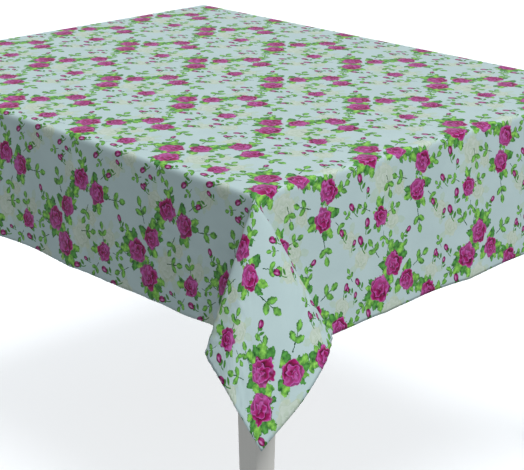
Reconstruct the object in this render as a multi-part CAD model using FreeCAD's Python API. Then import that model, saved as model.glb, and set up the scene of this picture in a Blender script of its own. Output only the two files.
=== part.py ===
import FreeCAD, Part
import math
import os

from FreeCAD import Vector

os.makedirs("parts", exist_ok=True)

# A vinyl tablecloth draped over a plain rectangular kitchen table.
# Millimetres, +Z up, origin on the floor under the middle of the table.
# X runs along the short sides of the top, Y along the long sides.

# ---------------------------------------------------------------- table top
TOP_X = 915.0            # 36 in wide
TOP_Y = 1145.0           # 45 in long
TOP_T = 22.0
TABLE_H = 750.0          # upper face of the board
TOP_CORNER_R = 10.0      # plan radius of the board's corners
TOP_EDGE_R = 8.0         # round-over all round the upper edge
TOP_LOWER_CHAMFER = 2.0

# ------------------------------------------------------------ legs and rails
LEG = 52.0               # square section at the rails
LEG_FOOT = 34.0          # square section at the floor
LEG_SETBACK = 35.0       # edge of the board to the leg's outer faces
LEG_EDGE_R = 3.0
LEG_CHAMFER = 14.0       # flat on the inner corner, for the hanger bolt
APRON_T = 20.0
APRON_H = 85.0
APRON_STEP = 6.0         # rail set back from the leg's outer face
APRON_EDGE_R = 2.0

# ------------------------------------------------------------- corner braces
BRACE_T = 22.0
BRACE_H = 60.0
BRACE_GAP = 5.7          # leg flat to brace
BOLT_R = 4.0             # M8 hanger bolt
BOLT_IN_LEG = 38.0
BOLT_TAIL = 4.0          # thread showing beyond the nut
WASHER_R = 9.0
WASHER_T = 1.6
NUT_AF = 13.0            # across flats
NUT_T = 6.5
SCREW_R = 2.0
SCREW_HEAD_R = 4.0
SCREW_HEAD_T = 2.5
BRACE_SCREW_LEN = 22.0
BRACE_SCREW_RISE = 16.0  # above and below the bolt
COUNTERBORE_R = 4.6

# --------------------------------------------- brackets that hold the top on
BRACKET_LEG = 30.0
BRACKET_W = 20.0
BRACKET_T = 2.0
BRACKET_SCREW_LEN = 12.0
BRACKETS_X = (-190.0, 190.0)     # on the rails along X
BRACKETS_Y = (-300.0, 300.0)     # on the rails along Y

# -------------------------------------------------------------------- glides
GLIDE_R = 12.0
GLIDE_T = 5.0
SPIGOT_R = 3.0
SPIGOT_LEN = 12.0
FIT_GAP = 0.05           # radial room round pins and spigots

# --------------------------------------------------------------------- cloth
CLOTH_X = 1372.0         # 54 in: the width of the roll
CLOTH_Y = 1650.0         # cut length
CLOTH_T = 1.0            # film and fleece backing, with its bulk
CLOTH_GAP = 0.3          # under the sheet, clear of the board
CLOTH_STAND_OFF = 1.0    # sheet to the board's edge
LEAN_LONG = 4.0          # outward lean of the drops along the long sides, degrees
LEAN_SHORT = 6.0         # outward lean of the drops along the short sides
FOLD_SHORT = 31.0        # corner fold: angle from vertical on the short side
FOLD_SHORT_LEAN = 8.0
FOLD_LONG = -8.0         # the same on the long side; below zero is past the corner
FOLD_LONG_LEAN = 27.0
TIP_LEAN = 22.0          # how far the corner's point stands out, degrees
FOLD_STAND_OFF = 4.0     # corner fold proud of the drops

HALF_X = TOP_X / 2
HALF_Y = TOP_Y / 2
DROP_X = (CLOTH_X - TOP_X) / 2     # drop at the long sides
DROP_Y = (CLOTH_Y - TOP_Y) / 2     # drop at the short sides
UNDERSIDE = TABLE_H - TOP_T
APRON_LOW = UNDERSIDE - APRON_H
CORNERS = [("front_left", -1, -1), ("front_right", 1, -1),
           ("back_left", -1, 1), ("back_right", 1, 1)]


def save(node, solids):
    """Write one node, as one solid or as several separate ones."""
    shape = solids[0] if len(solids) == 1 else Part.makeCompound(solids)
    if not shape.isValid():
        raise ValueError(node + " is not a valid shape")
    shape.exportStep("parts/" + node + ".step")
    volume = sum(s.Volume for s in solids)
    print(node, len(solids), "solid(s)", round(volume / 1000.0, 2), "cm3")


def to_corner(shape, sx, sy):
    """Move a shape made for the front left corner to another corner."""
    out = shape
    if sx > 0:
        out = out.mirror(Vector(0, 0, 0), Vector(1, 0, 0))
    if sy > 0:
        out = out.mirror(Vector(0, 0, 0), Vector(0, 1, 0))
    return out


def prism(points, low, high):
    """Upright prism on a closed outline of (x, y) points."""
    wire = Part.makePolygon([Vector(x, y, low) for x, y in points + points[:1]])
    return Part.Face(wire).extrude(Vector(0, 0, high - low))


def box(x0, x1, y0, y1, z0, z1):
    return Part.makeBox(x1 - x0, y1 - y0, z1 - z0, Vector(x0, y0, z0))


def upright_edges(shape, low, high):
    """Edges that run up from about low to about high."""
    found = []
    for edge in shape.Edges:
        zs = sorted(v.Z for v in edge.Vertexes)
        if len(zs) == 2 and abs(zs[0] - low) < 0.5 and abs(zs[1] - high) < 0.5:
            found.append(edge)
    return found


def edges_at(shape, z):
    """Edges that lie level at height z."""
    return [e for e in shape.Edges if all(abs(v.Z - z) < 1e-4 for v in e.Vertexes)]


def along(direction, radius, start, length):
    """Round bar from a start point along a direction."""
    return Part.makeCylinder(radius, length, start, direction)


# ------------------------------------------------------------------ table top
def make_top():
    board = box(-HALF_X, HALF_X, -HALF_Y, HALF_Y, UNDERSIDE, TABLE_H)
    board = board.makeFillet(TOP_CORNER_R, upright_edges(board, UNDERSIDE, TABLE_H))
    board = board.makeFillet(TOP_EDGE_R, edges_at(board, TABLE_H))
    board = board.makeChamfer(TOP_LOWER_CHAMFER, edges_at(board, UNDERSIDE))
    for bracket in bracket_places():
        board = board.cut(bracket_screw(bracket, "top", FIT_GAP))
    return board


# ----------------------------------------------------- corner, seen from above
# Corner distances are measured inwards from the board's two edges.
LEG_IN = LEG_SETBACK + LEG
APRON_OUT = LEG_SETBACK + APRON_STEP
APRON_IN = APRON_OUT + APRON_T
BOLT_Z = UNDERSIDE - APRON_H / 2
DIAGONAL = Vector(1, 1, 0).normalize()
LEG_FLAT = (2 * LEG_IN - LEG_CHAMFER) / math.sqrt(2)
BRACE_NEAR = LEG_FLAT + BRACE_GAP
BRACE_FAR = BRACE_NEAR + BRACE_T


def corner_point(p, q, z):
    return Vector(-HALF_X + p, -HALF_Y + q, z)


def on_diagonal(distance, z):
    step = distance / math.sqrt(2)
    return corner_point(step, step, z)


def make_leg():
    """Square post with its two inner faces tapered below the rails."""
    x0 = -HALF_X + LEG_SETBACK
    y0 = -HALF_Y + LEG_SETBACK
    post = box(x0, x0 + LEG, y0, y0 + LEG, APRON_LOW - 10, UNDERSIDE)
    rings = []
    for size, z in ((LEG_FOOT, GLIDE_T), (LEG, APRON_LOW - 10)):
        outline = [(x0, y0), (x0 + size, y0), (x0 + size, y0 + size), (x0, y0 + size)]
        rings.append(Part.makePolygon([Vector(x, y, z) for x, y in outline + outline[:1]]))
    leg = post.fuse(Part.makeLoft(rings, True, True)).removeSplitter()
    rounded = [e for e in leg.Edges
               if abs(e.Vertexes[0].Z - e.Vertexes[-1].Z) > 50]
    leg = leg.makeFillet(LEG_EDGE_R, rounded)
    inner = [(LEG_IN - LEG_CHAMFER, LEG_IN), (LEG_IN, LEG_IN - LEG_CHAMFER), (LEG_IN + 5, LEG_IN + 5)]
    corner = [(-HALF_X + p, -HALF_Y + q) for p, q in inner]
    leg = leg.cut(prism(corner, APRON_LOW, UNDERSIDE))
    bolt_hole = along(DIAGONAL * -1, BOLT_R + FIT_GAP, on_diagonal(LEG_FLAT + 5, BOLT_Z),
                      BOLT_IN_LEG + 7)
    middle = LEG_SETBACK + LEG_FOOT / 2
    spigot_hole = along(Vector(0, 0, 1), SPIGOT_R + FIT_GAP, corner_point(middle, middle, GLIDE_T - 1),
                        SPIGOT_LEN + 3)
    return leg.cut(bolt_hole).cut(spigot_hole)


def make_glide():
    middle = LEG_SETBACK + LEG_FOOT / 2
    pad = along(Vector(0, 0, 1), GLIDE_R, corner_point(middle, middle, 0), GLIDE_T)
    pad = pad.makeChamfer(1.2, edges_at(pad, 0))
    spigot = along(Vector(0, 0, 1), SPIGOT_R, corner_point(middle, middle, GLIDE_T - 1), SPIGOT_LEN + 1)
    return pad.fuse(spigot).removeSplitter()


def brace_screw_lines():
    """Start point at the head, and direction, of the brace's four wood screws."""
    lines = []
    seat = APRON_IN + 8.0
    reach = (BRACE_NEAR + BRACE_FAR) / math.sqrt(2) - APRON_IN
    for dz in (-BRACE_SCREW_RISE, BRACE_SCREW_RISE):
        lines.append((corner_point(reach, seat, BOLT_Z + dz), Vector(0, -1, 0)))
        lines.append((corner_point(seat, reach, BOLT_Z + dz), Vector(-1, 0, 0)))
    return lines


def wood_screw(start, direction, length, extra=0.0):
    """Shank and domed head; start is where the head's underside seats."""
    shank = along(direction, SCREW_R + extra, start, length)
    if extra:
        return shank.fuse(along(direction * -1, SCREW_R + extra, start, 1.0))
    head = Part.makeCone(SCREW_HEAD_R, SCREW_HEAD_R * 0.6, SCREW_HEAD_T, start, direction * -1)
    return shank.fuse(head).removeSplitter()


def make_brace():
    """Block across the inside of the corner, its ends flat on the two rails."""
    near = BRACE_NEAR * math.sqrt(2) - APRON_IN
    far = BRACE_FAR * math.sqrt(2) - APRON_IN
    outline = [(near, APRON_IN), (far, APRON_IN), (APRON_IN, far), (APRON_IN, near)]
    outline = [(-HALF_X + p, -HALF_Y + q) for p, q in outline]
    brace = prism(outline, BOLT_Z - BRACE_H / 2, BOLT_Z + BRACE_H / 2)
    brace = brace.cut(along(DIAGONAL, BOLT_R + 0.5, on_diagonal(BRACE_NEAR - 5, BOLT_Z), BRACE_T + 10))
    for start, direction in brace_screw_lines():
        brace = brace.cut(along(direction * -1, COUNTERBORE_R, start, 40))
        brace = brace.cut(wood_screw(start, direction, 20, FIT_GAP))
    return brace


def make_hanger_bolt():
    length = BOLT_IN_LEG + BRACE_GAP + BRACE_T + WASHER_T + NUT_T + BOLT_TAIL
    bolt = along(DIAGONAL, BOLT_R, on_diagonal(LEG_FLAT - BOLT_IN_LEG, BOLT_Z), length)
    return bolt.makeChamfer(0.8, [e for e in bolt.Edges if e.Closed])


def make_washer():
    start = on_diagonal(BRACE_FAR, BOLT_Z)
    return along(DIAGONAL, WASHER_R, start, WASHER_T).cut(along(DIAGONAL, BOLT_R + 0.3, start, WASHER_T))


def make_nut():
    """Hexagon nut, built upright and turned onto the bolt."""
    radius = NUT_AF / math.sqrt(3)
    points = []
    for k in range(6):
        angle = math.radians(60 * k)
        points.append((radius * math.cos(angle), radius * math.sin(angle)))
    nut = prism(points, 0, NUT_T).cut(Part.makeCylinder(BOLT_R + FIT_GAP, NUT_T))
    nut = nut.common(Part.makeCone(radius * 1.25, radius * 0.97, NUT_T))
    turn = FreeCAD.Rotation(Vector(0, 0, 1), DIAGONAL)
    nut.Placement = FreeCAD.Placement(on_diagonal(BRACE_FAR + WASHER_T, BOLT_Z), turn)
    return nut


# -------------------------------------------------------------- rails (aprons)
def make_apron(along_x, side):
    """Rail between two legs, on the front or back, or on the left or right."""
    if along_x:
        x1 = HALF_X - LEG_IN
        y1 = side * (HALF_Y - APRON_OUT)
        y2 = side * (HALF_Y - APRON_IN)
        rail = box(-x1, x1, min(y1, y2), max(y1, y2), APRON_LOW, UNDERSIDE)
    else:
        y1 = HALF_Y - LEG_IN
        x1 = side * (HALF_X - APRON_OUT)
        x2 = side * (HALF_X - APRON_IN)
        rail = box(min(x1, x2), max(x1, x2), -y1, y1, APRON_LOW, UNDERSIDE)
    low_edges = [e for e in edges_at(rail, APRON_LOW) if e.Length > 100]
    rail = rail.makeFillet(APRON_EDGE_R, low_edges)
    for _, sx, sy in CORNERS:
        for start, direction in brace_screw_lines():
            rail = rail.cut(to_corner(wood_screw(start, direction, BRACE_SCREW_LEN, FIT_GAP), sx, sy))
    for bracket in bracket_places():
        rail = rail.cut(bracket_screw(bracket, "rail", FIT_GAP))
    return rail


# ------------------------------------------------------------- angle brackets
def bracket_places():
    """Corner of each bracket under the board, and the level direction it points in."""
    places = []
    for x in BRACKETS_X:
        for side in (-1, 1):
            places.append((Vector(x, side * (HALF_Y - APRON_IN), UNDERSIDE), Vector(0, -side, 0)))
    for y in BRACKETS_Y:
        for side in (-1, 1):
            places.append((Vector(side * (HALF_X - APRON_IN), y, UNDERSIDE), Vector(-side, 0, 0)))
    return places


def placed(shape, place):
    """Turn a shape built along +X to the bracket's direction, and move it there."""
    point, direction = place
    shape = shape.copy()
    angle = math.degrees(math.atan2(direction.y, direction.x))
    shape.Placement = FreeCAD.Placement(point, FreeCAD.Rotation(Vector(0, 0, 1), angle))
    return shape


def make_bracket(place):
    half = BRACKET_W / 2
    flat = box(0, BRACKET_LEG, -half, half, -BRACKET_T, 0)
    down = box(0, BRACKET_T, -half, half, -BRACKET_LEG, 0)
    angle = flat.fuse(down).removeSplitter()
    middle = BRACKET_LEG * 0.6
    angle = angle.cut(Part.makeCylinder(SCREW_R + 0.3, 10, Vector(middle, 0, -5)))
    angle = angle.cut(Part.makeCylinder(SCREW_R + 0.3, 10, Vector(-5, 0, -middle), Vector(1, 0, 0)))
    return placed(angle, place)


def bracket_screw(place, which, extra=0.0):
    middle = BRACKET_LEG * 0.6
    if which == "top":
        screw = wood_screw(Vector(middle, 0, -BRACKET_T), Vector(0, 0, 1), BRACKET_SCREW_LEN, extra)
    else:
        screw = wood_screw(Vector(BRACKET_T, 0, -middle), Vector(-1, 0, 0), BRACKET_SCREW_LEN, extra)
    return placed(screw, place)


# ------------------------------------------------------------------ tablecloth
def hanging(long_side, side):
    """One flat drop, leaning outwards from the edge of the top."""
    lean = math.radians(LEAN_LONG if long_side else LEAN_SHORT)
    edge = (HALF_X if long_side else HALF_Y) + CLOTH_STAND_OFF
    length = DROP_X if long_side else DROP_Y
    half = HALF_Y if long_side else HALF_X
    top = TABLE_H + CLOTH_GAP + CLOTH_T
    out = length * math.sin(lean)
    down = length * math.cos(lean)
    section = [(edge, top), (edge + CLOTH_T, top), (edge + CLOTH_T + out, top - down), (edge + out, top - down)]
    points = []
    for distance, z in section + section[:1]:
        if long_side:
            points.append(Vector(side * distance, -half, z))
        else:
            points.append(Vector(-half, side * distance, z))
    sweep = Vector(0, 2 * half, 0) if long_side else Vector(2 * half, 0, 0)
    return Part.Face(Part.makePolygon(points)).extrude(sweep)


def fold_ray(angle, lean, along_x):
    """Direction of a corner fold: angle from vertical in the drop, lean outwards."""
    a = math.radians(angle)
    b = math.radians(lean)
    level = math.sin(a)
    out = -math.sin(b) * math.cos(a)
    down = -math.cos(b) * math.cos(a)
    return Vector(level, out, down) if along_x else Vector(out, level, down)


def corner_fold():
    """The point of the sheet: two flat leaves that meet on the diagonal."""
    lean = math.radians(TIP_LEAN)
    out = -math.sin(lean) / math.sqrt(2)
    tip_ray = Vector(out, out, -math.cos(lean))
    apex = Vector(-HALF_X - FOLD_STAND_OFF, -HALF_Y - FOLD_STAND_OFF, TABLE_H + CLOTH_GAP)
    tip = apex + tip_ray * math.hypot(DROP_X, DROP_Y)
    leaves = []
    for angle, lean_out, along_x, drop, other in (
            (FOLD_SHORT, FOLD_SHORT_LEAN, True, DROP_Y, DROP_X),
            (FOLD_LONG, FOLD_LONG_LEAN, False, DROP_X, DROP_Y)):
        ray = fold_ray(angle, lean_out, along_x)
        opening = ray.getAngle(tip_ray)
        past_vertical = math.atan2(other, drop) - opening
        end = apex + ray * (drop / math.cos(past_vertical))
        wire = Part.makePolygon([apex, end, tip, apex])
        normal = (end - apex).cross(tip - apex).normalize()
        if normal.dot(Vector(-1, -1, 0)) < 0:
            normal = normal * -1
        leaves.append(Part.Face(wire).extrude(normal * CLOTH_T))
    return leaves


def make_cloth():
    low = TABLE_H + CLOTH_GAP
    x = HALF_X + CLOTH_STAND_OFF
    y = HALF_Y + CLOTH_STAND_OFF
    panels = [box(-x, x, -y, y, low, low + CLOTH_T)]
    for side in (-1, 1):
        panels.append(hanging(True, side))
        panels.append(hanging(False, side))
    for _, sx, sy in CORNERS:
        for leaf in corner_fold():
            panels.append(to_corner(leaf, sx, sy))
    return panels


def main():
    save("tablecloth", make_cloth())
    save("top_board", [make_top()])
    save("apron_front", [make_apron(True, -1)])
    save("apron_back", [make_apron(True, 1)])
    save("apron_left", [make_apron(False, -1)])
    save("apron_right", [make_apron(False, 1)])
    leg = make_leg()
    brace = make_brace()
    glide = make_glide()
    for name, sx, sy in CORNERS:
        save("leg_" + name, [to_corner(leg, sx, sy)])
        save("brace_" + name, [to_corner(brace, sx, sy)])
        save("glide_" + name, [to_corner(glide, sx, sy)])
    for node, made in (("hanger_bolts", make_hanger_bolt()), ("hanger_washers", make_washer()),
                       ("hanger_nuts", make_nut())):
        save(node, [to_corner(made, sx, sy) for _, sx, sy in CORNERS])
    screws = []
    for _, sx, sy in CORNERS:
        for start, direction in brace_screw_lines():
            screws.append(to_corner(wood_screw(start, direction, BRACE_SCREW_LEN), sx, sy))
    save("brace_screws", screws)
    places = bracket_places()
    save("angle_brackets", [make_bracket(p) for p in places])
    save("bracket_screws", [bracket_screw(p, w) for p in places for w in ("top", "rail")])


main()
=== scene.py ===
# %% [markdown]
# # A printed vinyl tablecloth on a kitchen table
#
# The sheet is one rectangle of printed vinyl film with a thin white fleece on
# its back. It lies on the board, hangs down on four sides and folds into a
# hanging point at each corner. The table under it is already there as CAD
# nodes, so this lesson makes the cloth and the finishes.

# %% Load the frame
import math
import bpy
import numpy as np
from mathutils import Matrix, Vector


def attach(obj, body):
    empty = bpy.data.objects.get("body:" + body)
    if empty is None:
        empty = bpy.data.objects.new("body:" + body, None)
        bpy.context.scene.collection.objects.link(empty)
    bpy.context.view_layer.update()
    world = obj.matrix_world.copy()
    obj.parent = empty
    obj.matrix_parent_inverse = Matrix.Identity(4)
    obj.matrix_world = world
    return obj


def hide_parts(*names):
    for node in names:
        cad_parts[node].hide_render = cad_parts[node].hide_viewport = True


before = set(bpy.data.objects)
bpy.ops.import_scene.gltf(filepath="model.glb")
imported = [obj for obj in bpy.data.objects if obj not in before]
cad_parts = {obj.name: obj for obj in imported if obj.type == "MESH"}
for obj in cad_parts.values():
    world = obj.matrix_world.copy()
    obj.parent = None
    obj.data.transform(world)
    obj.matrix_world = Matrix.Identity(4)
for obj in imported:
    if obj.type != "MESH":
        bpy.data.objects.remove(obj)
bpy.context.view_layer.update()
bpy.ops.object.select_all(action="DESELECT")
print("CAD nodes", len(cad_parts))

# %% [markdown]
# ## The sheet before it is laid
#
# A cutter takes 1.650 m from a roll that is 1.372 m wide. All the work on the
# cloth starts from that flat rectangle, so that the print and the area stay
# right wherever the sheet goes. The lines of the mesh are close together where
# the sheet bends, over the board's edge and in the corners, and far apart on
# the flat top.

# %% Flat sizes and mesh lines
board_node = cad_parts["top_board"]
board_corners = [board_node.matrix_world @ Vector(corner) for corner in board_node.bound_box]
*BOARD, BOARD_TOP = [round(max(corner[i] for corner in board_corners), 4) for i in range(3)]
SHEET = (1.372, 1.650)
TURN = [half + 0.001 for half in BOARD]         # where the sheet turns down, from the middle
DROP = (SHEET[0] / 2 - TURN[0], SHEET[1] / 2 - TURN[1])
LAY_HEIGHT = BOARD_TOP + 0.0009                 # the face that film and fleece share
EDGE_ZONE, EDGE_LINES = 0.015, 11               # the bend over the board's edge, and its mesh lines
TOP_STEP, MESH_STEP = 0.0125, 0.005


def mesh_lines(turn, drop):
    """Places of the mesh lines from the middle outwards, mirrored."""
    top = np.linspace(0, turn - EDGE_ZONE, round((turn - EDGE_ZONE) / TOP_STEP) + 1)
    edge = np.linspace(turn - EDGE_ZONE, turn + EDGE_ZONE, EDGE_LINES)[1:]
    hang = np.linspace(turn + EDGE_ZONE, turn + drop, round((drop - EDGE_ZONE) / MESH_STEP) + 1)[1:]
    half = np.concatenate([top, edge, hang])
    return np.concatenate([-half[:0:-1], half])


LINES_X, LINES_Y = mesh_lines(TURN[0], DROP[0]), mesh_lines(TURN[1], DROP[1])
print("mesh lines", len(LINES_X), "by", len(LINES_Y), "drops", DROP)

# %% [markdown]
# ## How a corner folds
#
# Cloth hardly stretches, so round a corner of the board it can only roll
# and fold. Every straight line of the flat sheet that starts at the corner
# stays a straight line, a ray, when the sheet hangs. The corner's whole shape
# is then given by the rays' directions: 270 degrees of flat sheet have to go
# into the 180 degrees between the two edges of the board, and the spare 90
# degrees make the hanging point and the tucks beside it.
#
# The function below holds neighbouring rays at their true angle, pulls a few
# rays towards the directions that the fold should have, lets go of them, and
# evens out the bends. That is a small simulation of a sheet that bends easily
# and hardly stretches.

# %% Directions of the rays round one corner
LEAN_SHORT, LEAN_LONG = math.radians(6), math.radians(4)
RAY_STEP = 0.5
FLAT_SHORT, FLAT_LONG = 45, 25          # degrees next to each edge that stay a plane
TIP_ANGLE = 90 + math.degrees(math.atan2(DROP[0], DROP[1]))


def short_ray(angle, lean=LEAN_SHORT):
    a = math.radians(angle)
    return np.array([math.cos(a), -math.sin(lean) * math.sin(a), -math.cos(lean) * math.sin(a)])


def long_ray(angle, lean=LEAN_LONG):
    a = math.radians(angle)
    return np.array([-math.sin(lean) * math.sin(a), math.cos(a), -math.cos(lean) * math.sin(a)])


def unit(v):
    return v / np.linalg.norm(v, axis=-1, keepdims=True)


def turned(direction, degrees):
    a = math.radians(degrees)
    x, y, z = direction
    return unit(np.array([x * math.cos(a) - y * math.sin(a), x * math.sin(a) + y * math.cos(a), z]))


def fold_keys(turn):
    """(flat angle, direction, pull): tuck, right edge, tip and left edge of the point."""
    return [
        (60, short_ray(60), 0.5), (77, short_ray(76, math.radians(11)), 1.0),
        (92, turned((0.39, -0.27, -0.88), turn), 1.5), (105, turned((0.22, -0.36, -0.91), turn), 0.8),
        (119, turned((-0.02, -0.36, -0.93), turn), 0.5), (TIP_ANGLE, turned((-0.235, -0.27, -0.935), turn), 1.6),
        (148, turned((-0.38, -0.20, -0.90), turn), 0.8), (165, turned((-0.41, 0.03, -0.91), turn), 1.5),
        (188, long_ray(76), 0.7), (205, long_ray(64), 0.7),
    ]


KEY_PULL = 0.3                          # share of the way to its goal that a key ray moves in a round
LET_GO = 0.85                           # share of the rounds after which no key ray is pulled
BEND_EVEN, BEND_REACH = 0.075, 3        # how strongly bends are evened out, over how many rays
ANGLE_ROUNDS = 6                        # passes that restore the angle between neighbours
NEIGHBOUR_PULL = ((0, 1.0), (-1, 0.5), (1, 0.5), (-2, 0.5), (2, 0.5))


def settled_rays(turns, rounds):
    """One set of rays for each corner: directions every RAY_STEP degrees of flat sheet."""
    angles = np.arange(0, 270 + RAY_STEP / 2, RAY_STEP)
    held = (angles <= FLAT_SHORT) | (angles >= 270 - FLAT_LONG)
    chord = 2 * math.sin(math.radians(RAY_STEP) / 2)
    keys = [fold_keys(t) for t in turns]
    rays = []
    for key in keys:
        known = [(0, short_ray(0), 1), (FLAT_SHORT, short_ray(FLAT_SHORT), 1)] + key
        known += [(270 - FLAT_LONG, long_ray(FLAT_LONG), 1), (270, long_ray(0), 1)]
        at, to = [k[0] for k in known], np.array([unit(k[1]) for k in known])
        start = unit(np.stack([np.interp(angles, at, to[:, i]) for i in range(3)], 1))
        for i, a in enumerate(angles):
            if a <= FLAT_SHORT:
                start[i] = short_ray(a)
            if a >= 270 - FLAT_LONG:
                start[i] = long_ray(270 - a)
        rays.append(start)
    rays = np.array(rays)
    fixed = rays[:, held].copy()
    where = [round(k[0] / RAY_STEP) for k in keys[0]]
    goals = np.array([[unit(k[1]) for k in key] for key in keys])
    pulls = np.array([k[2] for k in keys[0]])[None, :, None] * KEY_PULL
    for step in range(rounds):
        hold = max(0.0, 1 - step / (rounds * LET_GO))
        for near, share in NEIGHBOUR_PULL:
            spots = [w + near for w in where]
            rays[:, spots] += (goals - rays[:, spots]) * pulls * hold * share
        if step % 2 == 0 and hold > 0:
            inner = rays[:, BEND_REACH:-BEND_REACH]
            inner += ((rays[:, :-2 * BEND_REACH] + rays[:, 2 * BEND_REACH:]) / 2 - inner) * BEND_EVEN
        rays[:, held] = fixed
        for _ in range(ANGLE_ROUNDS):
            for odd in (0, 1):
                a, b = rays[:, odd:-1:2], rays[:, odd + 1::2]
                count = min(a.shape[1], b.shape[1])
                gap = b[:, :count] - a[:, :count]
                move = gap * (1 - chord / np.linalg.norm(gap, axis=2, keepdims=True)) * 0.5
                rays[:, odd:odd + 2 * count:2] += move
                rays[:, odd + 1:odd + 1 + 2 * count:2] -= move
            rays[:, held] = fixed
        rays = unit(rays)
    return angles, rays


CORNERS = {(-1, -1): 0.0, (1, -1): -9.0, (-1, 1): 11.0, (1, 1): 5.0}    # turn of each point, degrees
ROUNDS = 4000
RAY_ANGLES, RAYS = settled_rays(list(CORNERS.values()), ROUNDS)
print("rays for each corner", RAYS.shape[1], "corners", RAYS.shape[0])

# %% [markdown]
# ## Laying the sheet
#
# Each point of the flat sheet goes to its place: level on the board, or along
# its ray from the nearest corner. Then the sharp turn over the board's edge is
# rounded by averaging neighbours, and the hanging sides get slow waves and the
# creases of the packet that the sheet was folded in.

# %% Where each flat point goes
POINT_LENGTHENS = 0.08                  # vinyl gives a little where its own weight pulls at the point
LONG_SPREAD = 28                        # degrees either side of the tip that share in it


def hanging_place(u, v):
    """Places in space of flat points u, v, which are measured from the sheet's middle."""
    su, sv = np.where(u < 0, -1, 1), np.where(v < 0, -1, 1)
    out_x, out_y = np.abs(u) - TURN[0], np.abs(v) - TURN[1]
    place = np.stack([u, v, np.full(u.shape, LAY_HEIGHT)], -1)
    angle = np.degrees(np.arctan2(out_y, -out_x)) % 360
    reach = np.hypot(out_x, out_y)
    reach = reach * (1 + POINT_LENGTHENS * np.exp(-((angle - TIP_ANGLE) / LONG_SPREAD) ** 2))
    over = (out_x > 0) | (out_y > 0)
    for rays, (sx, sy) in zip(RAYS, CORNERS):
        here = over & (su == sx) & (sv == sy)
        ray = np.stack([np.interp(angle[here], RAY_ANGLES, rays[:, i]) for i in range(3)], -1)
        ray = unit(ray) * reach[here][:, None]
        place[here, 0] = sx * (TURN[0] - ray[:, 0])
        place[here, 1] = sy * (TURN[1] - ray[:, 1])
        place[here, 2] = LAY_HEIGHT + ray[:, 2]
    return place


FLAT_U, FLAT_V = np.meshgrid(LINES_X, LINES_Y)
PLACE = hanging_place(FLAT_U, FLAT_V)
print("lowest point of the cloth", round(float(PLACE[..., 2].min()), 4))

# %% Round the turn over the board's edge
SMOOTH_ROUNDS, SMOOTH_SHARE = 14, 0.6
FULL_ROUND, ROUND_ENDS = 0.004, 0.014   # metres each side of the turn
BOARD_ROUND = 0.008                     # round-over of the board's upper edge
REST_GAP = 0.0008                       # from the board to the face that film and fleece share
PAST_CORNER = 0.05                      # the turn is rounded this far beyond the board's corner
BELOW_X, BELOW_Y = np.abs(FLAT_U) - TURN[0], np.abs(FLAT_V) - TURN[1]


def smooth_step(value, low, high):
    t = np.clip((value - low) / (high - low), 0, 1)
    return t * t * (3 - 2 * t)


near_turn = np.maximum(
    (1 - smooth_step(np.abs(BELOW_X), FULL_ROUND, ROUND_ENDS)) * (BELOW_Y < PAST_CORNER),
    (1 - smooth_step(np.abs(BELOW_Y), FULL_ROUND, ROUND_ENDS)) * (BELOW_X < PAST_CORNER))
for _ in range(SMOOTH_ROUNDS):
    middle = PLACE[1:-1, 1:-1]
    mean = (PLACE[:-2, 1:-1] + PLACE[2:, 1:-1] + PLACE[1:-1, :-2] + PLACE[1:-1, 2:]) / 4
    PLACE[1:-1, 1:-1] = middle + (mean - middle) * near_turn[1:-1, 1:-1, None] * SMOOTH_SHARE
PLACE[..., 2] = np.where((BELOW_X < -0.02) & (BELOW_Y < -0.02), LAY_HEIGHT, PLACE[..., 2])

# the sheet rests on the board's rounded edge and doesn't sink into it
out_x, out_y = [np.clip(np.abs(PLACE[..., i]) - (BOARD[i] - BOARD_ROUND), 0, None) for i in (0, 1)]
rise = np.sqrt(np.clip((BOARD_ROUND + REST_GAP) ** 2 - out_x ** 2 - out_y ** 2, 0, None))
on_edge = (rise > 0) & (PLACE[..., 2] > BOARD_TOP - BOARD_ROUND)
PLACE[..., 2] = np.where(on_edge, np.maximum(PLACE[..., 2], BOARD_TOP - BOARD_ROUND + rise), PLACE[..., 2])
print("edge rounded")

# %% Slow waves in the hanging sides
WAVES = ((0.31, 0.6, 0.0), (0.173, 0.4, 1.3))    # length, share, shift
WAVE_DEPTH = 0.0035
CREASE_STEP, CREASE_DEPTH = 0.21, 0.0032         # folds from the packet
CALM, LIVELY = 0.05, 0.20                        # from the corner: no waves yet, and full waves


def wave(along, shift):
    return sum(share * np.sin(2 * math.pi * along / length + turn + shift) for length, share, turn in WAVES)


for axis, below, other, along, shift, first_crease in (
        (0, BELOW_X, BELOW_Y, FLAT_V, 0.4, -0.14), (1, BELOW_Y, BELOW_X, FLAT_U, 2.1, 0.01)):
    side = np.sign((FLAT_U, FLAT_V)[axis])
    depth = np.clip(below / DROP[axis], 0, 1) ** 1.3
    away = smooth_step(-other, CALM, LIVELY)
    PLACE[..., axis] += side * depth * away * WAVE_DEPTH * (0.6 + wave(along + side * 0.07, shift))
    crease = (1 - np.abs(np.sin(math.pi * (along - first_crease) / CREASE_STEP))) ** 4
    PLACE[..., axis] += side * smooth_step(below, 0.01, 0.07) * away * CREASE_DEPTH * crease
print("waves up to", WAVE_DEPTH * 1600, "mm")

# %% [markdown]
# ## The two layers
#
# The printed film and the fleece on its back are bonded together. They are made
# as two pieces, because they look nothing like each other and the underside
# shows from below and when the cloth is lifted. A grid is added, its points are
# moved to their places, and the flat position of each point is kept as its UV,
# so that the print is drawn on the flat sheet.

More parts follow.
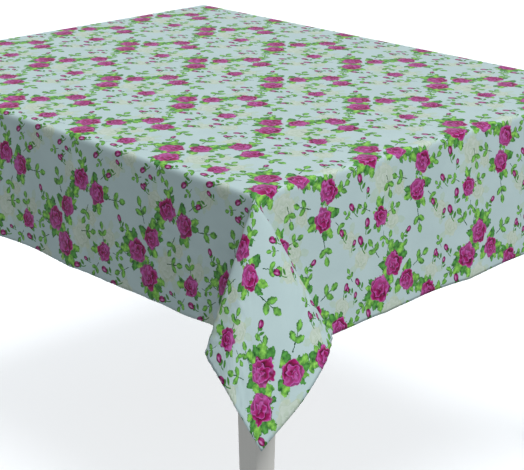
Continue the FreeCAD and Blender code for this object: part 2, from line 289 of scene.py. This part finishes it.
# %% A sheet mesh from a grid
def laid_sheet(name):
    bpy.ops.object.select_all(action="DESELECT")
    bpy.ops.mesh.primitive_grid_add(x_subdivisions=len(LINES_X) - 1, y_subdivisions=len(LINES_Y) - 1, size=1)
    sheet = bpy.context.object
    sheet.name = sheet.data.name = name
    mesh = sheet.data
    co = np.zeros(len(mesh.vertices) * 3)
    mesh.vertices.foreach_get("co", co)
    co = co.reshape(-1, 3)
    column = np.rint((co[:, 0] + 0.5) * (len(LINES_X) - 1)).astype(int)
    row = np.rint((co[:, 1] + 0.5) * (len(LINES_Y) - 1)).astype(int)
    mesh.vertices.foreach_set("co", PLACE[row, column].astype(np.float32).ravel())
    corner = np.zeros(len(mesh.loops), int)
    mesh.loops.foreach_get("vertex_index", corner)
    uv = np.stack([FLAT_U[row, column] / SHEET[0] + 0.5, FLAT_V[row, column] / SHEET[1] + 0.5], -1)[corner]
    mesh.uv_layers[0].name = "OFBake"
    mesh.uv_layers[0].data.foreach_set("uv", uv.astype(np.float32).ravel())
    mesh.update()
    bpy.ops.object.shade_smooth()
    print(name, len(mesh.polygons), "faces")
    return sheet


def thicken(sheet, thickness, outwards):
    """A closed layer on one side of the shared face."""
    bpy.context.view_layer.objects.active = sheet
    solid = sheet.modifiers.new("layer", "SOLIDIFY")
    solid.thickness = thickness
    solid.offset = 1 if outwards else -1
    solid.use_even_offset = False
    bpy.ops.object.modifier_apply(modifier="layer")
    return sheet


FILM_THICK, FLEECE_THICK = 0.00025, 0.0006
film = thicken(laid_sheet("vinyl_film"), FILM_THICK, True)
fleece = thicken(laid_sheet("fleece_back"), FLEECE_THICK, False)
print("film and fleece", len(film.data.polygons), len(fleece.data.polygons))

# %% [markdown]
# ## Building finishes from nodes
#
# Every finish is a small network of nodes. These helpers add one node and wire
# its inputs, so that a finish reads like a recipe.

# %% Node helpers
def paint(r, g, b):
    """A colour given as it looks on screen, 0 to 255, as the linear value that nodes use."""
    def linear(c):
        c /= 255
        return c / 12.92 if c <= 0.04045 else ((c + 0.055) / 1.055) ** 2.4
    return (linear(r), linear(g), linear(b), 1.0)


def node(tree, kind, *inputs, **settings):
    made = tree.nodes.new("ShaderNode" + kind)
    for key, value in settings.items():
        setattr(made, key, value)
    for socket, value in zip(made.inputs, inputs):
        wire(tree, value, socket)
    return made


def wire(tree, value, socket):
    if value is None:
        return
    if isinstance(value, bpy.types.NodeSocket):
        tree.links.new(value, socket)
    else:
        socket.default_value = value


def num(tree, operation, *inputs):
    return node(tree, "Math", *inputs, operation=operation).outputs[0]


def vec(tree, operation, *inputs):
    made = node(tree, "VectorMath", *inputs, operation=operation)
    return made.outputs["Value"] if operation in ("LENGTH", "DOT_PRODUCT", "DISTANCE") else made.outputs[0]


def blend_colour(tree, share, below, above, blend="MIX"):
    mix = tree.nodes.new("ShaderNodeMix")
    mix.data_type, mix.blend_type = "RGBA", blend
    for value, socket in ((share, mix.inputs[0]), (below, mix.inputs[6]), (above, mix.inputs[7])):
        wire(tree, value, socket)
    return mix.outputs[2]


def pick(tree, share, below, above):
    mix = tree.nodes.new("ShaderNodeMix")
    mix.data_type = "VECTOR"
    for value, socket in ((share, mix.inputs[0]), (below, mix.inputs[4]), (above, mix.inputs[5])):
        wire(tree, value, socket)
    return mix.outputs[1]


def ramp(tree, share, stops):
    made = node(tree, "ValToRGB", share)
    band = made.color_ramp
    while len(band.elements) < len(stops):
        band.elements.new(0.5)
    for element, (position, colour) in zip(band.elements, stops):
        element.position, element.color = position, colour
    return made.outputs[0]


def noise(tree, at, scale, detail=2.0, roughness=0.5):
    made = tree.nodes.new("ShaderNodeTexNoise")
    wire(tree, at, made.inputs["Vector"])
    made.inputs["Scale"].default_value = scale
    made.inputs["Detail"].default_value = detail
    made.inputs["Roughness"].default_value = roughness
    return made


def finish_tree(name, **sockets):
    """A new material, its tree and its shader, with the constant sockets set on the shader."""
    material = bpy.data.materials.new(name)
    material.use_nodes = True
    tree = material.node_tree
    shader = tree.nodes["Principled BSDF"]
    for key, value in sockets.items():
        shader.inputs[key.replace("_", " ")].default_value = value
    return material, tree, shader


def bumped(tree, shader, height, depth, strength=1.0):
    bump = tree.nodes.new("ShaderNodeBump")
    bump.inputs["Strength"].default_value = strength
    bump.inputs["Distance"].default_value = depth
    wire(tree, height, bump.inputs["Height"])
    wire(tree, bump.outputs[0], shader.inputs["Normal"])


print("helpers ready")

# %% [markdown]
# ## The print
#
# The film is printed in repeats of 219 mm each way: loose roses with leaves and
# buds, over pale roses that look half washed out. Each motif is drawn once, in a
# square that reaches one unit each way, and placed many times. To place it, the
# flat position is wrapped round the motif's own place, turned and scaled, and
# of all places the nearest one wins.

# %% Repeating a motif
REPEAT = (219.0, 218.6)                # millimetres
FIRST_ROSE = (256.5, 261.0)             # from the sheet's corner


def placed(tree, flat, x, y, size, turn, number=0):
    """Motif coordinates round one place in every repeat; z carries the place's number."""
    half_x, half_y = REPEAT[0] / 2, REPEAT[1] / 2
    around = vec(tree, "WRAP", flat, (x + half_x, y + half_y, 1), (x - half_x, y - half_y, -1))
    return node(tree, "Mapping", around, (x, y, -number / 100), (0, 0, math.radians(turn)), (size, size, 1),
                vector_type="TEXTURE").outputs[0]


def nearest(tree, flat, places):
    best = placed(tree, flat, *places[0])
    for number, place in enumerate(places[1:], 1):
        other = placed(tree, flat, *place, number)
        closer = num(tree, "LESS_THAN", vec(tree, "LENGTH", other), vec(tree, "LENGTH", best))
        best = pick(tree, closer, best, other)
    return best


def inside(tree, value, limit, soft=0.03):
    """1 where value is under limit, with an edge as soft as printed ink."""
    return node(tree, "MapRange", value, limit - soft, limit + soft, 1, 0, clamp=True).outputs[0]


# %% [markdown]
# ### A rose
#
# A garden rose seen from the front is a spiral of petals. Each petal is dark
# where the next one shades it and pale at its rolled rim. The spiral comes from
# distance plus turn, and scallops make the petals' round ends.

# %% Rose motif
def rose(tree, at, flat, stops):
    wobble = noise(tree, flat, 0.11, 1.0).outputs["Color"]
    patch = num(tree, "MULTIPLY_ADD", node(tree, "SeparateXYZ", wobble).outputs[2], 3.6, -1.9)
    moved = vec(tree, "MULTIPLY_ADD", vec(tree, "SUBTRACT", wobble, (0.5, 0.5, 0.5)), (0.55, 0.55, 0), at)
    part = node(tree, "SeparateXYZ", moved)
    distance = vec(tree, "LENGTH", moved)
    turn = num(tree, "ARCTAN2", part.outputs[1], part.outputs[0])
    scallop = num(tree, "SINE", num(tree, "MULTIPLY_ADD", turn, 5.0, num(tree, "MULTIPLY", distance, 7.0)))
    spiral = num(tree, "MULTIPLY_ADD", distance, 2.5, num(tree, "MULTIPLY", turn, 1 / (2 * math.pi)))
    petal = num(tree, "FRACT", num(tree, "MULTIPLY_ADD", scallop, 0.16, spiral))
    streak = noise(tree, moved, 3.2, 2.0).outputs[0]
    shade = num(tree, "MULTIPLY_ADD", num(tree, "SUBTRACT", streak, 0.5), 0.9, petal)
    colour = ramp(tree, shade, stops)
    light = num(tree, "MULTIPLY_ADD", vec(tree, "DOT_PRODUCT", moved, (0.35, 0.75, 0)), 0.5, 0.08)
    colour = blend_colour(tree, num(tree, "ADD", light, num(tree, "MAXIMUM", patch, 0.0)), colour, stops[-2][1])
    edge = num(tree, "MULTIPLY_ADD", num(tree, "SINE", num(tree, "MULTIPLY", turn, 5.0)), 0.07, distance)
    return inside(tree, edge, 0.90), colour


ROSE_INKS = [(0.0, paint(76, 0, 34)), (0.25, paint(120, 2, 60)), (0.5, paint(154, 8, 92)),
             (0.72, paint(176, 36, 128)), (0.9, paint(200, 102, 182)), (1.0, paint(90, 2, 50))]
GHOST_INKS = [(0.0, paint(168, 184, 148)), (0.3, paint(184, 198, 164)), (0.6, paint(196, 208, 180)),
              (0.8, paint(202, 212, 188)), (0.92, paint(210, 218, 200)), (1.0, paint(176, 190, 156))]
print("rose inks", len(ROSE_INKS))

# %% [markdown]
# ### Leaves
#
# A rose leaf is a stem with leaflets: one at the tip and pairs along the sides.
# The pairs are one leaflet, mirrored across the stem and repeated along it. Each
# leaflet is a lens shape, bright along its rib and dark at its edge.

# %% Leaf motifs
SIDE_ANGLE = math.radians(52)
PAIR_STEP = 0.80
LEAFLET_LONG = 0.78
PAIR_START = 0.32
RING_LEAVES = 7


def leaflet(tree, along, across, wide):
    """How near a point is to a lens-shaped leaflet's edge: 0 on its rib, 1 at its edge; along runs 0 to 1."""
    rest = num(tree, "MAXIMUM", num(tree, "SUBTRACT", 1.0, along), 0.0)
    hump = num(tree, "MULTIPLY", num(tree, "MAXIMUM", along, 0.0), rest)
    swell = num(tree, "MULTIPLY_ADD", num(tree, "POWER", hump, 0.72), 2.7 * wide, 0.0001)
    return num(tree, "DIVIDE", num(tree, "ABSOLUTE", across), swell)


def leaf_colour(tree, flat, ratio, dark, bright):
    """Bright along the rib and dark at the edge, with patches of both."""
    patch = noise(tree, flat, 0.14, 2.0).outputs[0]
    tone = num(tree, "MULTIPLY_ADD", ratio, -0.55, num(tree, "MULTIPLY_ADD", patch, 1.9, -0.15))
    return blend_colour(tree, tone, dark, bright)


def band(tree, off, y, half_width, middle, half_length):
    """Mask of a thin stem: off is the distance from its line, y runs along it."""
    reach = num(tree, "ABSOLUTE", num(tree, "SUBTRACT", y, middle))
    return num(tree, "MULTIPLY", num(tree, "LESS_THAN", off, half_width), num(tree, "LESS_THAN", reach, half_length))


def sprig(tree, at, flat, dark, bright):
    ragged = noise(tree, flat, 0.35, 1.0).outputs["Color"]
    moved = vec(tree, "MULTIPLY_ADD", vec(tree, "SUBTRACT", ragged, (0.5, 0.5, 0.5)), (0.16, 0.16, 0), at)
    part = node(tree, "SeparateXYZ", moved)
    x, y = part.outputs[0], part.outputs[1]
    size = num(tree, "ABSOLUTE", x)
    slope = num(tree, "MULTIPLY_ADD", size, -1 / math.tan(SIDE_ANGLE), y)
    start = num(tree, "ADD", slope, PAIR_START)
    local = num(tree, "WRAP", start, PAIR_STEP / 2, -PAIR_STEP / 2)
    slant = num(tree, "MULTIPLY", local, math.cos(SIDE_ANGLE))
    along = num(tree, "MULTIPLY_ADD", size, 1 / math.sin(SIDE_ANGLE), slant)
    across = num(tree, "MULTIPLY", local, math.sin(SIDE_ANGLE) / LEAFLET_LONG)
    pair = leaflet(tree, num(tree, "DIVIDE", along, LEAFLET_LONG), across, 0.30)
    beyond = num(tree, "GREATER_THAN", num(tree, "ABSOLUTE", start), PAIR_STEP / 2)
    tip = leaflet(tree, num(tree, "MULTIPLY_ADD", y, 1.35, -0.35), num(tree, "MULTIPLY", x, 1.35), 0.34)
    ratio = num(tree, "MINIMUM", num(tree, "MULTIPLY_ADD", beyond, 10.0, pair), tip)
    stem = band(tree, size, y, 0.035, -0.3, 0.65)
    return num(tree, "MAXIMUM", inside(tree, ratio, 1.0, 0.08), stem), leaf_colour(tree, flat, ratio, dark, bright)


def leaf_ring(tree, at, flat, dark, bright, shift=0.0, start=0.70):
    """Leaves that stand out round a rose: one leaf, repeated by turns of a seventh, a few of them missing."""
    ragged = noise(tree, flat, 0.30, 1.0).outputs["Color"]
    moved = vec(tree, "MULTIPLY_ADD", vec(tree, "SUBTRACT", ragged, (0.5, 0.5, 0.5)), (0.30, 0.30, 0), at)
    part = node(tree, "SeparateXYZ", moved)
    turn = num(tree, "ARCTAN2", part.outputs[1], part.outputs[0])
    place = num(tree, "ROUND", num(tree, "MULTIPLY_ADD", turn, RING_LEAVES / 2 / math.pi, shift))
    local = num(tree, "MULTIPLY_ADD", num(tree, "SUBTRACT", place, shift), -2 * math.pi / RING_LEAVES, turn)
    seed = num(tree, "MULTIPLY_ADD", place, 1.7, num(tree, "MULTIPLY", part.outputs[2], 90.0))
    chance = node(tree, "TexWhiteNoise", None, seed, noise_dimensions="1D").outputs[0]
    reach = num(tree, "MAXIMUM", num(tree, "MULTIPLY_ADD", chance, 1.35, -0.10), 0.05)
    distance = vec(tree, "LENGTH", moved)
    along = num(tree, "DIVIDE", num(tree, "MULTIPLY_ADD", num(tree, "COSINE", local), distance, -start), reach)
    across = num(tree, "DIVIDE", num(tree, "MULTIPLY", num(tree, "SINE", local), distance), reach)
    ratio = leaflet(tree, along, across, 0.30)
    return inside(tree, ratio, 1.0, 0.08), leaf_colour(tree, flat, ratio, dark, bright)


print("leaflet length", LEAFLET_LONG)

# %% [markdown]
# ### Buds
#
# A bud is a closed drop of petals held by green sepals on a thin bent stem,
# with one small leaf.

# %% Bud motif
BUD_INKS = [(0.15, paint(206, 150, 196)), (0.5, paint(176, 62, 140)), (0.75, paint(140, 16, 92)),
            (1.0, paint(70, 4, 44))]


def framed(tree, at, middle, size, turn=0.0):
    """Position in a smaller frame inside a motif."""
    return node(tree, "Mapping", at, (*middle, 0), (0, 0, math.radians(turn)), (*size, 1),
                vector_type="TEXTURE").outputs[0]


def bud(tree, at, flat):
    part = node(tree, "SeparateXYZ", at)
    x, y = part.outputs[0], part.outputs[1]
    body = vec(tree, "LENGTH", framed(tree, at, (0, 0.32), (0.40, 0.56)))
    petals = inside(tree, body, 0.86, 0.06)
    tone = noise(tree, flat, 0.22, 1.0).outputs[0]
    fold = num(tree, "MULTIPLY_ADD", num(tree, "SINE", num(tree, "MULTIPLY_ADD", x, 16.0, y)), 0.22, body)
    pink = ramp(tree, num(tree, "MULTIPLY_ADD", tone, 0.3, fold), BUD_INKS)
    sepal = inside(tree, vec(tree, "LENGTH", framed(tree, at, (0, -0.16), (0.36, 0.26))), 0.9, 0.08)
    bend = num(tree, "MULTIPLY_ADD", num(tree, "SINE", num(tree, "MULTIPLY", y, 2.6)), -0.14, x)
    stem = band(tree, num(tree, "ABSOLUTE", bend), y, 0.055, -0.65, 0.5)
    blade = node(tree, "SeparateXYZ", framed(tree, at, (0.05, -0.85), (0.75, 0.75), -48))
    leaf = inside(tree, leaflet(tree, blade.outputs[1], blade.outputs[0], 0.22), 1.0, 0.08)
    green = num(tree, "MAXIMUM", num(tree, "MAXIMUM", sepal, stem), leaf)
    colour = blend_colour(tree, petals, blend_colour(tree, tone, paint(34, 92, 34), paint(96, 168, 72)), pink)
    return num(tree, "MAXIMUM", green, petals), colour


print("bud drawn")

# %% [markdown]
# ### Layers of the print
#
# The places below lay out one repeat, in millimetres: the big roses, the pale
# roses behind them, the sprigs of leaves and the buds between. The layers are
# drawn from the back: pale roses first and the big roses last.

# %% Places: x, y, size, turn
ROSES = [(0, 0, 23, 10), (36, 32, 22.5, 95), (66, -3, 19.5, 200), (105, 139, 20.5, 40), (120, 181, 20.5, 150),
         (12, 116, 18, 250)]
PALE_ROSES = [(26, 175, 25, 30), (38, 105, 18, 0), (61, 151, 13, 60), (130, -6, 17, 10), (158, 93, 17, 80),
              (-36, 58, 17, 15)]
SPRIGS = [(105, 25, 23, -66), (-8, 68, 20, 30), (29, 72, 18, -22), (63, 60, 18, 6), (36, -60, 20, 190),
          (152, 180, 19, -62), (63, 168, 20, 70), (105, 87, 22, 186), (141, 118, 17, -140), (44, 122, 18, -76),
          (-24, 137, 16, 60), (95, -23, 18, 228), (-44, -19, 17, 116), (91, 209, 17, 30), (14, 79, 14, 170),
          (154, 39, 13, 20), (-61, 134, 12, 46)]
BUDS = [(-28, 181, 16, 10), (-13, 161, 10, -15), (-48, 141, 15, 35), (-19, 108, 16, -10), (-34, 83, 17, 20),
        (-52, 85, 11, -30), (75, 77, 13, -60), (-47, 21, 14, 30), (-57, 2, 11, -20), (144, 106, 14, 25),
        (142, 19, 14, -25), (-71, 17, 13, 40)]


def printed_ink(tree, flat):
    """Colour of the print at a flat position in millimetres."""
    cloud = noise(tree, flat, 0.02, 2.0).outputs[0]
    colour = blend_colour(tree, cloud, paint(181, 204, 206), paint(192, 214, 215))
    pale_at, rose_at = nearest(tree, flat, PALE_ROSES), nearest(tree, flat, ROSES)
    sprig_at, bud_at = nearest(tree, flat, SPRIGS), nearest(tree, flat, BUDS)
    layers = [
        (leaf_ring, pale_at, (paint(170, 196, 164), paint(184, 206, 176), 0.25), 0.45),
        (rose, pale_at, (GHOST_INKS,), 0.6),
        (sprig, sprig_at, (paint(20, 78, 38), paint(134, 208, 90)), 1.0),
        (leaf_ring, rose_at, (paint(12, 66, 30), paint(94, 174, 76), 0.5, 0.6), 1.0),
        (leaf_ring, rose_at, (paint(28, 104, 40), paint(154, 224, 96)), 1.0),
        (bud, bud_at, (), 1.0),
        (rose, rose_at, (ROSE_INKS,), 1.0),
    ]
    for motif, at, inks, strength in layers:
        mask, ink = motif(tree, at, flat, *inks)
        if strength < 1:
            mask = num(tree, "MULTIPLY", mask, strength)
        colour = blend_colour(tree, mask, colour, ink)
    return colour


print("places in a repeat", sum(map(len, (ROSES, PALE_ROSES, SPRIGS, BUDS))))

# %% [markdown]
# ## Finish of the film
#
# The film is soft vinyl with a satin gloss. It is pressed with a fine linen
# grain, and it keeps slow dents from the roll, which break up the reflections.

# %% Printed vinyl
def printed_vinyl():
    material, tree, shader = finish_tree("printed_vinyl", IOR=1.46, Specular_IOR_Level=0.32,
                                         Coat_Weight=0.08, Coat_Roughness=0.25)
    uv = node(tree, "UVMap", uv_map="OFBake").outputs[0]
    flat = vec(tree, "MULTIPLY_ADD", uv, (SHEET[0] * 1000, SHEET[1] * 1000, 0), (-FIRST_ROSE[0], -FIRST_ROSE[1], 0))
    wire(tree, printed_ink(tree, flat), shader.inputs["Base Color"])
    part = node(tree, "SeparateXYZ", flat)
    warp, weft = [num(tree, "SINE", num(tree, "MULTIPLY", part.outputs[i], 4.2)) for i in (0, 1)]
    threads = num(tree, "ADD", warp, weft)
    dents = noise(tree, flat, 0.012, 2.0).outputs[0]
    smear = noise(tree, flat, 0.03, 3.0).outputs[0]
    wire(tree, num(tree, "MULTIPLY_ADD", smear, 0.16, 0.36), shader.inputs["Roughness"])
    bumped(tree, shader, num(tree, "MULTIPLY_ADD", dents, 30.0, threads), 0.00004, 0.6)
    print("print has", len(tree.nodes), "nodes")
    return material


def give(piece, material):
    piece.data.materials.clear()
    piece.data.materials.append(material)
    return piece


give(film, printed_vinyl())

# %% [markdown]
# ## Finish of the fleece
#
# The back is a thin white fleece that stops the sheet sliding. It has no gloss,
# a little fuzz and a soft mottle.

# %% White fleece
def white_fleece():
    material, tree, shader = finish_tree("white_fleece", Roughness=0.95, Sheen_Weight=0.35,
                                         Sheen_Roughness=0.6, Specular_IOR_Level=0.15)
    uv = node(tree, "UVMap", uv_map="OFBake").outputs[0]
    flat = vec(tree, "MULTIPLY", uv, (SHEET[0] * 1000, SHEET[1] * 1000, 0))
    tuft = noise(tree, flat, 0.55, 4.0, 0.7).outputs[0]
    mottle = noise(tree, flat, 0.05, 2.0).outputs[0]
    tone = num(tree, "MULTIPLY_ADD", tuft, 0.6, num(tree, "MULTIPLY", mottle, 0.4))
    wire(tree, blend_colour(tree, tone, paint(214, 214, 210), paint(240, 240, 238)), shader.inputs["Base Color"])
    bumped(tree, shader, tuft, 0.0004, 0.8)
    return material


give(fleece, white_fleece())
print("fleece finished")

# %% [markdown]
# ## Finishes of the table
#
# The board is a blank of glued pine staves, the legs and rails are painted white,
# the corner braces are bare sawn pine, the glides are pale nylon and all the
# hardware is bright zinc. Each finish is made in object coordinates, with the
# grain along the piece it goes on.

# %% Bare wood
def bare_wood(name, long_axis, light, dark, stave=0.0):
    material, tree, shader = finish_tree(name, Specular_IOR_Level=0.35)
    at = node(tree, "TexCoord").outputs["Object"]
    stretch = [22.0, 22.0, 22.0]
    stretch[long_axis] = 1.6
    along = node(tree, "Mapping", at, (0.013, 0.027, 0.041), (0, 0, 0), tuple(stretch)).outputs[0]
    rings = noise(tree, along, 1.0, 3.0, 0.55).outputs[0]
    lines = num(tree, "SINE", num(tree, "MULTIPLY", rings, 46.0))
    fibre = noise(tree, along, 9.0, 4.0, 0.7).outputs[0]
    tone = num(tree, "MULTIPLY_ADD", lines, 0.22, num(tree, "MULTIPLY_ADD", fibre, 0.5, 0.25))
    colour = blend_colour(tree, tone, light, dark)
    if stave:
        part = node(tree, "SeparateXYZ", at)
        across = part.outputs[1 if long_axis == 0 else 0]
        number = num(tree, "FLOOR", num(tree, "DIVIDE", across, stave))
        shade = node(tree, "TexWhiteNoise", None, number, noise_dimensions="1D").outputs[0]
        colour = blend_colour(tree, num(tree, "MULTIPLY", shade, 0.35), colour, dark, "MULTIPLY")
    wire(tree, colour, shader.inputs["Base Color"])
    wire(tree, num(tree, "MULTIPLY_ADD", fibre, 0.2, 0.5), shader.inputs["Roughness"])
    bumped(tree, shader, num(tree, "MULTIPLY_ADD", lines, 0.3, fibre), 0.0003, 0.5)
    return material


PINE_LIGHT, PINE_DARK = paint(232, 204, 160), paint(190, 144, 94)
print("bare wood ready")

# %% White paint on wood
def painted_wood(name, long_axis):
    material, tree, shader = finish_tree(name, Coat_Weight=0.15, Coat_Roughness=0.35)
    at = node(tree, "TexCoord").outputs["Object"]
    stretch = [60.0, 60.0, 60.0]
    stretch[long_axis] = 3.0
    along = node(tree, "Mapping", at, (0, 0, 0), (0, 0, 0), tuple(stretch)).outputs[0]
    strokes = noise(tree, along, 3.0, 3.0, 0.6).outputs[0]
    wear = noise(tree, at, 9.0, 4.0, 0.6).outputs[0]
    tone = num(tree, "MULTIPLY_ADD", strokes, 0.4, num(tree, "MULTIPLY", wear, 0.4))
    wire(tree, blend_colour(tree, tone, paint(238, 238, 234), paint(222, 221, 214)), shader.inputs["Base Color"])
    wire(tree, num(tree, "MULTIPLY_ADD", wear, 0.2, 0.28), shader.inputs["Roughness"])
    bumped(tree, shader, strokes, 0.00015, 0.5)
    return material


print("white paint ready")

# %% Nylon and zinc
def pale_nylon():
    material, tree, shader = finish_tree("pale_nylon", Specular_IOR_Level=0.4)
    at = node(tree, "TexCoord").outputs["Object"]
    speck = noise(tree, at, 900.0, 2.0).outputs[0]
    scuff = noise(tree, at, 120.0, 4.0).outputs[0]
    wire(tree, blend_colour(tree, scuff, paint(216, 212, 200), paint(236, 233, 225)), shader.inputs["Base Color"])
    wire(tree, num(tree, "MULTIPLY_ADD", scuff, 0.3, 0.4), shader.inputs["Roughness"])
    bumped(tree, shader, speck, 0.0001, 0.5)
    return material


def bright_zinc():
    material, tree, shader = finish_tree("bright_zinc", Metallic=1.0)
    at = node(tree, "TexCoord").outputs["Object"]
    spangle = node(tree, "TexVoronoi", at).outputs["Color"]
    tree.nodes[-1].inputs["Scale"].default_value = 260.0
    cloud = noise(tree, at, 160.0, 3.0).outputs[0]
    wire(tree, blend_colour(tree, cloud, paint(176, 180, 186), paint(212, 214, 216)), shader.inputs["Base Color"])
    facet = vec(tree, "DOT_PRODUCT", spangle, (0.1, 0.1, 0.1))
    wire(tree, num(tree, "MULTIPLY_ADD", facet, 0.7, 0.22), shader.inputs["Roughness"])
    bumped(tree, shader, cloud, 0.00005, 0.4)
    return material


print("nylon and zinc ready")

# %% Put the finishes on the CAD nodes
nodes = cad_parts
ALONG_X, ALONG_Y, ALONG_Z = 0, 1, 2
board = bare_wood("pine_board", ALONG_Y, PINE_LIGHT, PINE_DARK, 0.09)
sawn = bare_wood("sawn_pine", ALONG_X, paint(218, 184, 134), paint(164, 116, 70))
leg_paint = painted_wood("white_paint_legs", ALONG_Z)
rail_x, rail_y = painted_wood("white_paint_rails_x", ALONG_X), painted_wood("white_paint_rails_y", ALONG_Y)
nylon, zinc = pale_nylon(), bright_zinc()
FINISH = {"top_board": board, "apron_front": rail_x, "apron_back": rail_x, "apron_left": rail_y,
          "apron_right": rail_y, "leg_": leg_paint, "brace_": sawn, "brace_screws": zinc, "glide_": nylon,
          "hanger_": zinc, "angle_": zinc, "bracket_": zinc}
for name, cad_node in nodes.items():
    for start, material in FINISH.items():
        if name.startswith(start):      # the last start that fits wins, so brace_screws are zinc
            give(cad_node, material)
print("finished nodes", sorted(n for n in nodes if n != "tablecloth"))

# %% [markdown]
# ## What moves with what
#
# Film and fleece lift off the table together, so both ride on the cloth's body,
# and both together stand for the plain CAD sheet.

# %% Bodies and sheets
for piece in (film, fleece):
    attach(piece, "cloth")
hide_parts("tablecloth")
print("cloth rides on its own body")

# %% [markdown]
# ## Studio
#
# A wide white floor and one large soft light from above the front. Product
# tables are lit so that the background stays even: two more lamps light only
# the floor, one that casts the table's soft shadow and one that fills it in.
# Light linking keeps them off the cloth, whose long side stays in its own shade.
# The floor gives no bounce light either, and the backdrop is there for the
# camera only.

# %% Floor
bpy.ops.object.select_all(action="DESELECT")
bpy.ops.mesh.primitive_plane_add(size=60, location=(0, 0, 0))
floor = bpy.context.object
floor.name = "floor"
material, tree, shader = finish_tree("white_floor", Roughness=0.9, Specular_IOR_Level=0.1)
grain = noise(tree, node(tree, "TexCoord").outputs["Object"], 0.6, 2.0).outputs[0]
wire(tree, blend_colour(tree, grain, paint(238, 242, 246), paint(242, 246, 250)), shader.inputs["Base Color"])
give(floor, material)
floor.visible_diffuse = floor.visible_glossy = False
print("floor", [round(size) for size in floor.dimensions[:2]], "m")

# %% Backdrop
bpy.ops.mesh.primitive_cylinder_add(vertices=96, radius=29, depth=14, end_fill_type="NOTHING", location=(0, 0, 6.9))
backdrop = bpy.context.object
backdrop.name = "backdrop"
material, tree, shader = finish_tree("white_backdrop", Roughness=1.0, Emission_Strength=1.0)
haze = noise(tree, node(tree, "TexCoord").outputs["Object"], 0.05, 1.0).outputs[0]
wire(tree, blend_colour(tree, haze, paint(0, 0, 0), paint(2, 2, 2)), shader.inputs["Base Color"])
shader.inputs["Emission Color"].default_value = (1, 1, 1, 1)
give(backdrop, material)
backdrop.visible_diffuse = backdrop.visible_glossy = backdrop.visible_shadow = False
print("backdrop", round(backdrop.dimensions[2]), "m high")

# %% Lights
only_floor = bpy.data.collections.new("lit_by_floor_lamps")
only_floor.objects.link(floor)
all_but_floor = bpy.data.collections.new("lit_by_key")
for piece in (film, fleece, *nodes.values()):
    all_but_floor.objects.link(piece)


def soft_sun(name, tilt, turn, power, spread, lit, shadow=True):
    """A far lamp: tilt from straight down, turn about the vertical, both in degrees."""
    bpy.ops.object.light_add(type="SUN", rotation=(math.radians(tilt), 0, math.radians(turn)))
    lamp = bpy.context.object
    lamp.name = name
    lamp.data.energy, lamp.data.angle, lamp.data.use_shadow = power, math.radians(spread), shadow
    lamp.light_linking.receiver_collection = lit
    return lamp


soft_sun("key", 27, 6, 2.55, 12, all_but_floor)
soft_sun("floor_shadow_lamp", 10, 0, 1.2, 40, only_floor)
soft_sun("floor_fill_lamp", 0, 0, 2.2, 10, only_floor, shadow=False)
world = bpy.data.worlds.new("studio")
bpy.context.scene.world = world
world.use_nodes = True
world.node_tree.nodes["Background"].inputs[0].default_value = (0.95, 0.98, 1.0, 1.0)
world.node_tree.nodes["Background"].inputs[1].default_value = 0.36
bpy.context.scene.view_settings.view_transform = "Standard"
print("lights set")

# %% Camera
CAMERA_PLACE = (-1.739, -1.927, 1.3723)
CAMERA_YAW, CAMERA_PITCH = math.radians(46.28), math.radians(-20.12)
bpy.ops.object.camera_add(location=CAMERA_PLACE)
camera = bpy.context.object
level = math.cos(CAMERA_PITCH)
look = Vector((level * math.cos(CAMERA_YAW), level * math.sin(CAMERA_YAW), math.sin(CAMERA_PITCH)))
camera.rotation_euler = look.to_track_quat("-Z", "Y").to_euler()
camera.data.sensor_fit, camera.data.sensor_width, camera.data.lens = "HORIZONTAL", 36.0, 94.43
bpy.context.scene.camera = camera
print("camera at", CAMERA_PLACE)
